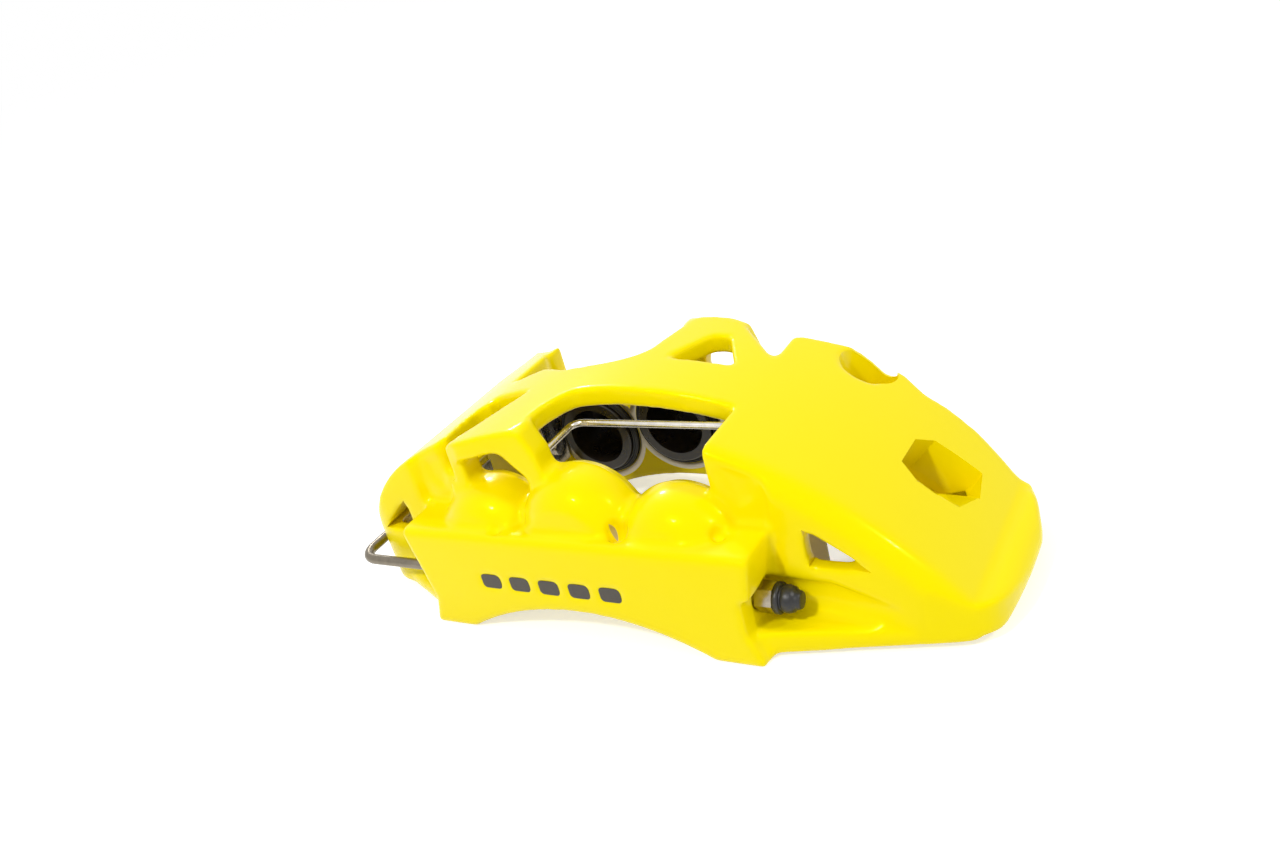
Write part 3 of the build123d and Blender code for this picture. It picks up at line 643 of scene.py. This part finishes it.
def portTools(m):
    for node in ("bleed_screw_outboard", "pipe_nut_outboard", "pipe_nut_inboard"):
        low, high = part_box(node)
        side = 1 if low.x > 0 else -1
        ends = sorted((side * m["portSeat"], side * (m["portSeat"] + m["portSpotDepth"])))
        middle = ((low.y + high.y) / 2, (low.z + high.z) / 2)
        yield prism(circle(m["portSpotRadius"], middle, 64), *ends, alongX)


def inlayTool(m):  # the inlay blocks themselves, drawn out through the face
    mesh = cadNodes["face_inlay"].data.copy()
    low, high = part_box("face_inlay")
    for point in mesh.vertices:
        if point.co.y < (low.y + high.y) / 2:
            point.co.y -= m["inlayReach"]
    return mesh


def pocketTool(m):
    half, top = m["pocketHalfLength"], m["pocketTop"]
    outline = [(-half, cadLow.z - 0.002), (half, cadLow.z - 0.002), (half, top), (-half, top)]
    return prism(outline, -m["padFace"], m["padFace"], alongY)


def windowTools(m):
    for outline in (m["longWindow"], m["shortWindow"]):
        yield prism(outline, *m["windowDepths"], alongY)


def makeCasting(look):
    voxel = look["voxel"] * 1
    mesh = remeshed(cadNodes["caliper_body"].data.copy(), voxel)
    mesh = combined(mesh, list(addedForms(forms)), "UNION")
    mesh = remeshed(combined(mesh, list(cutForms(forms))), voxel)
    print("forms added:", len(mesh.polygons), "faces")
    mesh = remeshed(swollen(mesh, look["fillet"]), voxel)
    mesh = remeshed(swollen(mesh, -look["fillet"]), voxel)
    mesh = smoothed(mesh, look["rounds"])
    m = machining
    tools = [pocketTool(m), inlayTool(m), *boreTools(m), *lugTools(m), *portTools(m), *windowTools(m),
             *pocketCuts(forms)]
    mesh = combined(mesh, tools)
    casting = newPiece("casting", mesh, paintMat, "caliper", "yellow_paint")
    mesh.set_sharp_from_angle(angle=math.radians(look["sharpFrom"]))
    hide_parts("caliper_body")
    print("casting made:", len(mesh.polygons), "faces")


makeCasting(castSkin)

# ---- rubber boots: three ridges round each piston, as radius and depth behind the front ----
bootSection = millimetres([
    (19.05, 2.6), (19.05, 0.5), (19.2, 0.15), (19.5, 0), (19.8, 0.15), (19.95, 0.7),
    (20.1, 0.75), (20.25, 0.35), (20.5, 0.2), (20.75, 0.35), (20.9, 0.9), (21.05, 0.9),
    (21.15, 0.6), (21.35, 0.55), (21.52, 0.9), (21.52, 4.6), (20.2, 4.6), (20.2, 2.6),
])
bootSteps = 96


def makeBoot(name):
    low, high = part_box(name)
    x, z = (low.x + high.x) / 2, (low.z + high.z) / 2
    side = 1 if low.y > 0 else -1
    front = min(abs(low.y), abs(high.y))
    rings = []
    for i in range(bootSteps):
        turn = 2 * math.pi * i / bootSteps
        across, up = math.cos(turn), math.sin(turn)
        rings.append([(x + r * across, side * (front + depth), z + r * up) for r, depth in bootSection])
    mesh = lofted(rings, closed=True)
    boot = newPiece(name + "_ridged", mesh, finishMats["blackRubber"], "caliper", "rubber")
    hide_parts(name)


# ---- rubber caps, as radius and depth from the mouth, with the bore that takes the nipple ----
capProfile = millimetres([
    (0.3, 8.2), (3.53, 8.2), (3.53, 0), (5.9, 0), (6.3, 0.35), (6.3, 2), (6, 2.4),
    (5, 2.6), (4.9, 3), (5.3, 3.4), (5.5, 4.4), (5.45, 5.6), (5.1, 7), (4.9, 7.5),
    (4.1, 7.9), (3.9, 8.6), (3.6, 9.8), (3.3, 10.3), (2.6, 10.5), (0.3, 10.5),
])
capAxes = {"bleed_cap_outboard": (0, alongX), "bleed_cap_inboard": (2, alongZ)}


def makeCap(name):
    axis, put = capAxes[name]
    low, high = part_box(name)
    middle = tuple((low[k] + high[k]) / 2 for k in range(3) if k != axis)
    mesh = lathe([(r, low[axis] + depth) for r, depth in capProfile], middle, put, 64)
    body = body_of(cadNodes[name])[0]
    cap = newPiece(name + "_shaped", mesh, finishMats["blackRubber"], body, "rubber")
    mesh.set_sharp_from_angle(angle=math.radians(50))
    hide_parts(name)


# ---- small steel pieces with eased edges ----
easedEdges = {
    "bleed_screw": (0.0004, "zincSteel", "zinc_steel"),
    "pipe_nut": (0.0004, "darkSteel", "dark_steel"),
    "abutment": (0.0002, "stainlessWire", "stainless"),
}


def makeEased(name, width, matName, slotName):
    source = cadNodes[name]
    mesh = source.data.copy()
    mesh.transform(source.matrix_world)
    made = bmesh.new()
    made.from_mesh(mesh)
    bmesh.ops.remove_doubles(made, verts=made.verts, dist=1e-6)
    made.to_mesh(mesh)
    made.free()

    def add(helper):
        mod = helper.modifiers.new("edges", "BEVEL")
        mod.width, mod.segments, mod.limit_method = width, 3, "ANGLE"
        mod.angle_limit = math.radians(35)

    mesh = modified(mesh, add)
    piece = newPiece(name + "_eased", mesh, finishMats[matName], body_of(source)[0], slotName)
    mesh.set_sharp_from_angle(angle=math.radians(35))
    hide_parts(name)


bpy.context.view_layer.update()
for nodeName in list(cadNodes):
    if nodeName.startswith("piston_boot"):
        makeBoot(nodeName)
    elif nodeName in capAxes:
        makeCap(nodeName)
    for start, (width, matName, slotName) in easedEdges.items():
        if nodeName.startswith(start):
            makeEased(nodeName, width, matName, slotName)
print("boots, caps and steel pieces made")

# ---- small parts keep their imported shape and take a finish ----
smallFinish = {
    "piston_seal": ("blackRubber", "rubber"),
    "piston": ("pistonCup", "piston"),
    "crossover_pipe": ("darkSteel", "dark_steel"),
    "pad_wire": ("stainlessWire", "stainless"),
    "face_inlay": ("inlayFill", "inlay_paint"),
}
for nodeName, node in cadNodes.items():
    if nodeName == "caliper_body" or nodeName in capAxes or nodeName.startswith(("piston_boot", *easedEdges)):
        continue
    matName, slotName = next(v for k, v in smallFinish.items() if nodeName.startswith(k))
    node.data.materials.clear()
    node.data.materials.append(finishMats[matName])
print("small parts finished")

# ---- floor, backdrop and light ----
stageLook = {
    "size": 6.0,
    "floorColour": (0.80, 0.80, 0.80),
    "lift": 0.56,
    "worldLevel": 0.55,
}


def makeFloor(look):
    mesh = bpy.data.meshes.new("floorSheet")
    h = look["size"]
    corners = [(x, y, cadLow.z) for x, y in ((-h, -h), (h, -h), (h, h), (-h, h))]
    mesh.from_pydata(corners, [], [(0, 1, 2, 3)])
    floor = bpy.data.objects.new("floorSheet", mesh)
    bpy.context.scene.collection.objects.link(floor)
    mat, tree, shader = newMaterial("paleFloor")
    shader.inputs["Base Color"].default_value = (*look["floorColour"], 1)
    shader.inputs["Roughness"].default_value = 1.0
    shader.inputs["Specular IOR Level"].default_value = 0.0
    path = tree.nodes.new("ShaderNodeLightPath")
    seen = addMath(tree, "MAXIMUM", path.outputs["Is Camera Ray"], path.outputs["Is Glossy Ray"])
    seen = addMath(tree, "MAXIMUM", seen, path.outputs["Is Transmission Ray"])
    shader.inputs["Emission Color"].default_value = (1, 1, 1, 1)
    tree.links.new(addMath(tree, "MULTIPLY", seen, look["lift"]), shader.inputs["Emission Strength"])
    mesh.materials.append(mat)


def makeWorld(look):
    world = bpy.data.worlds.new("paleRoom")
    world.use_nodes = True
    tree = world.node_tree
    back = tree.nodes["Background"]
    path = tree.nodes.new("ShaderNodeLightPath")
    seen = addMath(tree, "MAXIMUM", path.outputs["Is Camera Ray"], path.outputs["Is Glossy Ray"])
    seen = addMath(tree, "MAXIMUM", seen, path.outputs["Is Transmission Ray"])
    back.inputs["Color"].default_value = (1, 1, 1, 1)
    level = addMath(tree, "MULTIPLY_ADD", seen, 1 - look["worldLevel"], look["worldLevel"])
    tree.links.new(level, back.inputs["Strength"])
    bpy.context.scene.world = world


lamps = {
    "keyPanel": {"place": (-0.15, -0.95, 1.15), "aim": (0.0, 0.0, 0.03), "size": (0.12, 0.12), "power": 9.0},
    "sidePanel": {"place": (1.1, 0.1, 0.95), "aim": (0.0, 0.0, 0.03), "size": (0.09, 0.09), "power": 4.0},
    "backPanel": {"place": (-0.8, 0.75, 0.85), "aim": (0.0, 0.0, 0.03), "size": (0.1, 0.1), "power": 4.0},
}


def makeLamp(name, look):
    light = bpy.data.lights.new(name, "AREA")
    light.shape = "RECTANGLE"
    light.size, light.size_y = look["size"]
    light.energy = look["power"]
    obj = bpy.data.objects.new(name, light)
    place = Vector(look["place"])
    obj.location = place
    obj.rotation_mode = "QUATERNION"
    obj.rotation_quaternion = (Vector(look["aim"]) - place).to_track_quat("-Z", "Y")
    bpy.context.scene.collection.objects.link(obj)


makeFloor(stageLook)
makeWorld(stageLook)
for lampName, lampLook in lamps.items():
    makeLamp(lampName, lampLook)
bpy.context.scene.view_settings.view_transform = "Standard"

print("scene ready")
